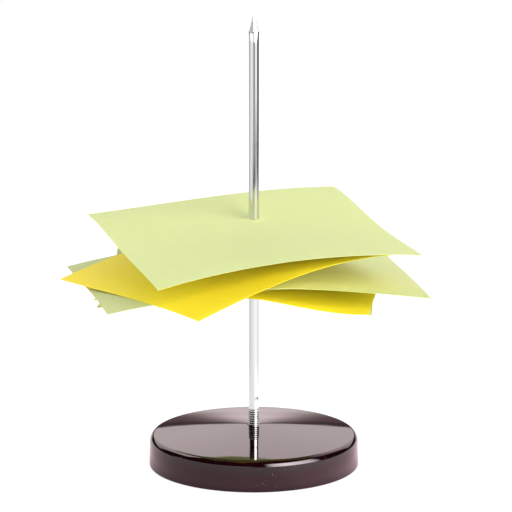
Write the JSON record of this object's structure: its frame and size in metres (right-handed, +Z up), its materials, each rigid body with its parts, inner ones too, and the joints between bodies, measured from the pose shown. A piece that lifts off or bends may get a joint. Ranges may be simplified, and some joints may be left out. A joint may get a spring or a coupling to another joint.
{
  "type": "memo spike",
  "caption": "Desk spike for paper notes: a pointed steel rod in a round domed moulded base, with loose square note sheets pushed over the point.",
  "frame": {"origin": "centre of the round foot, on the surface that the spike stands on", "axes": "+Z up along the rod, +X to the right and +Y away from the viewer of the picture"},
  "size_m": [0.1242, 0.135, 0.1549],
  "materials": {
    "base_shell": "high-gloss moulded plastic, dark maroon brown",
    "ballast": "plain oiled iron, hidden inside the base",
    "nut": "plain zinc-plated steel, hidden inside the base",
    "foot_pad": "matte black foam rubber",
    "rod": "bright plated steel, polished, with a ground point and a rolled thread",
    "green_paper": "uncoated tinted note paper, pale green",
    "yellow_paper": "uncoated tinted note paper, warm yellow"
  },
  "bodies": {
    "root": {"base_shell": "base_shell", "ballast_disc": "ballast", "lock_nut": "nut", "foot_pad": "foot_pad", "spike_rod": "rod", "note_sheet_1": "green_paper", "note_sheet_2": "yellow_paper", "note_sheet_3": "green_paper", "note_sheet_4": "green_paper", "note_sheet_5": "yellow_paper", "note_sheet_6": "green_paper"}
  },
  "joints": []
}
